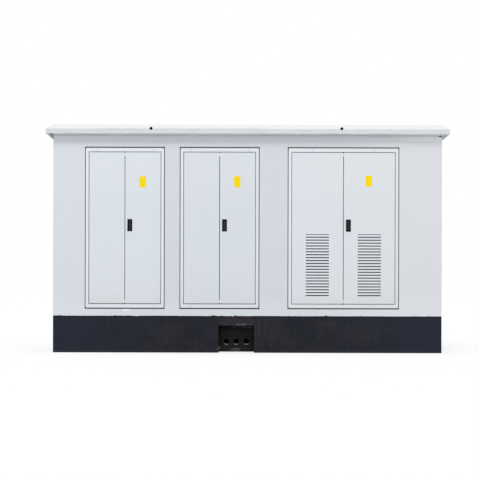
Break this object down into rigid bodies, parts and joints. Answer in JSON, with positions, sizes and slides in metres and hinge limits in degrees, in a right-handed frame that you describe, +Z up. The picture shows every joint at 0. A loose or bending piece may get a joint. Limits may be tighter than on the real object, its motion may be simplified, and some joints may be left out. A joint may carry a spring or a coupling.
{
  "type": "compact substation",
  "caption": "Precast concrete compact substation with bevelled roof slab, dark foundation basin, hinged double doors, louvres and a cable niche.",
  "frame": {"origin": "on the ground, in the middle of the plan", "axes": "+X along the front to the viewer's right, -Y out of the doors, +Z up"},
  "size_m": [5, 2.55, 2.867],
  "materials": {
    "wall_concrete": "painted concrete",
    "roof_concrete": "painted concrete",
    "basin_concrete": "dark protective paint on concrete",
    "bare_concrete": "bare concrete",
    "door_metal": "satin powder coat",
    "vent_metal": "satin powder coat",
    "handle_plastic": "fine grained black plastic",
    "duct_plastic": "matt grey pipe",
    "sleeve_steel": "dull steel",
    "lock_steel": "galvanised steel",
    "roof_seal": "pale sealing strip, painted over"
  },
  "bodies": {
    "housing": {"basin_front": "basin_concrete", "basin_back": "basin_concrete", "basin_left": "basin_concrete", "basin_right": "basin_concrete", "base_slab": "bare_concrete", "cable_niche_box": "basin_concrete", "cable_ducts": "duct_plastic", "floor_slab": "bare_concrete", "front_sill": "wall_concrete", "front_lintel": "wall_concrete", "front_pier_1": "wall_concrete", "front_pier_2": "wall_concrete", "front_pier_3": "wall_concrete", "front_pier_4": "wall_concrete", "left_wall": "wall_concrete", "right_wall": "wall_concrete", "back_wall": "wall_concrete", "rear_vent": "vent_metal", "roof_slab": "roof_concrete", "roof_seal": "roof_seal", "lifting_sleeves": "sleeve_steel", "door_1_frame": "door_metal", "door_2_frame": "door_metal", "door_3_frame": "door_metal"},
    "door_1_left": {"door_1_left_leaf": "door_metal"},
    "door_1_right": {"door_1_right_leaf": "door_metal", "door_1_handle_dish": "handle_plastic", "door_1_lock": "lock_steel"},
    "door_1_lever": {"door_1_handle_lever": "handle_plastic"},
    "door_2_left": {"door_2_left_leaf": "door_metal"},
    "door_2_right": {"door_2_right_leaf": "door_metal", "door_2_handle_dish": "handle_plastic", "door_2_lock": "lock_steel"},
    "door_2_lever": {"door_2_handle_lever": "handle_plastic"},
    "door_3_left": {"door_3_left_leaf": "door_metal", "door_3_left_louvre": "vent_metal"},
    "door_3_right": {"door_3_right_leaf": "door_metal", "door_3_right_louvre": "vent_metal", "door_3_handle_dish": "handle_plastic", "door_3_lock": "lock_steel"},
    "door_3_lever": {"door_3_handle_lever": "handle_plastic"}
  },
  "joints": [
    {"name": "door_1_left_hinge", "type": "hinge", "parent": "housing", "child": "door_1_left", "pos_m": [-1.966, -1.19, 1.555], "axis": [0, 0, -1], "range_deg": [0, 95]},
    {"name": "door_1_right_hinge", "type": "hinge", "parent": "housing", "child": "door_1_right", "pos_m": [-1.093, -1.19, 1.555], "axis": [0, 0, 1], "range_deg": [0, 95]},
    {"name": "door_1_lever_pivot", "type": "hinge", "parent": "door_1_right", "child": "door_1_lever", "pos_m": [-1.4675, -1.197, 1.641], "axis": [-1, 0, 0], "range_deg": [0, 60]},
    {"name": "door_2_left_hinge", "type": "hinge", "parent": "housing", "child": "door_2_left", "pos_m": [-0.785, -1.19, 1.555], "axis": [0, 0, -1], "range_deg": [0, 95]},
    {"name": "door_2_right_hinge", "type": "hinge", "parent": "housing", "child": "door_2_right", "pos_m": [0.088, -1.19, 1.555], "axis": [0, 0, 1], "range_deg": [0, 95]},
    {"name": "door_2_lever_pivot", "type": "hinge", "parent": "door_2_right", "child": "door_2_lever", "pos_m": [-0.2865, -1.197, 1.641], "axis": [-1, 0, 0], "range_deg": [0, 60]},
    {"name": "door_3_left_hinge", "type": "hinge", "parent": "housing", "child": "door_3_left", "pos_m": [0.562, -1.19, 1.555], "axis": [0, 0, -1], "range_deg": [0, 95]},
    {"name": "door_3_right_hinge", "type": "hinge", "parent": "housing", "child": "door_3_right", "pos_m": [1.83, -1.19, 1.555], "axis": [0, 0, 1], "range_deg": [0, 95]},
    {"name": "door_3_lever_pivot", "type": "hinge", "parent": "door_3_right", "child": "door_3_lever", "pos_m": [1.258, -1.197, 1.641], "axis": [-1, 0, 0], "range_deg": [0, 60]}
  ]
}
